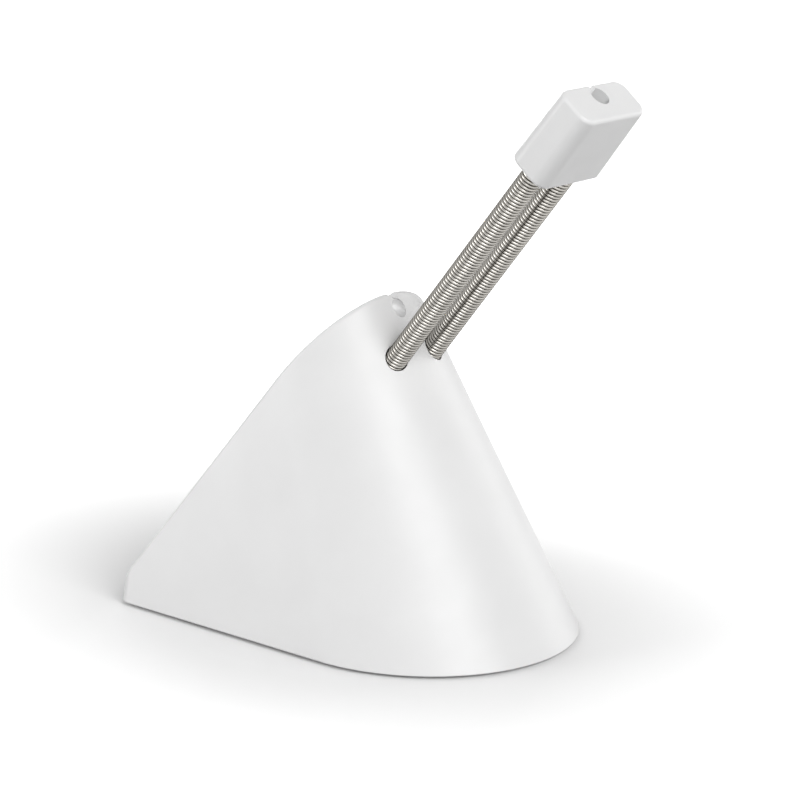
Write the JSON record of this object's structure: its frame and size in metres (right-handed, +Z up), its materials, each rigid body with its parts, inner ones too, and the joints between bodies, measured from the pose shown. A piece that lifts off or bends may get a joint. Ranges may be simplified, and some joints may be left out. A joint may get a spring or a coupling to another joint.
{
  "type": "mouse bungee",
  "caption": "Weighted wedge-shaped base with a leaning arm of close-wound springs and a slotted clip that holds a mouse cable clear of the desk.",
  "frame": {"origin": "on the desk in the plane of symmetry, straight below the point where the leaning axis of the round nose meets the shell's lower edge", "axes": "+Z up from the desk, -Y towards the front, which is where the arm leans, and +X to the right seen from the front"},
  "size_m": [0.065, 0.1095, 0.1204],
  "materials": {
    "white_plastic": "satin white moulding",
    "inner_plastic": "fine-grained black moulding",
    "spring_steel": "bright drawn stainless wire",
    "screw_steel": "zinc plated",
    "ballast_steel": "plain mill scale steel plate",
    "pad_rubber": "matte non-slip rubber"
  },
  "bodies": {
    "base": {"base_shell": "white_plastic", "bottom_cover": "inner_plastic", "ballast_weight": "ballast_steel", "foot_pad": "pad_rubber", "spring_clamp": "inner_plastic", "clamp_screw": "screw_steel", "cover_screws": "screw_steel"},
    "springs": {"left_spring": "spring_steel", "right_spring": "spring_steel"},
    "head": {"cable_clip": "white_plastic"}
  },
  "joints": [
    {"name": "arm_nod", "type": "hinge", "parent": "base", "child": "springs", "pos_m": [0, -0.00713, 0.06761], "axis": [1, 0, 0], "range_deg": [-25, 35], "stiffness_Nm_per_rad": 0.03, "springref_deg": -3.12, "deforming": ["left_spring", "right_spring"]},
    {"name": "arm_sway", "type": "slide", "parent": "springs", "child": "head", "axis": [1, 0, 0], "range_m": [-0.008, 0.008], "stiffness_N_per_m": 40, "deforming": ["left_spring", "right_spring"]}
  ]
}
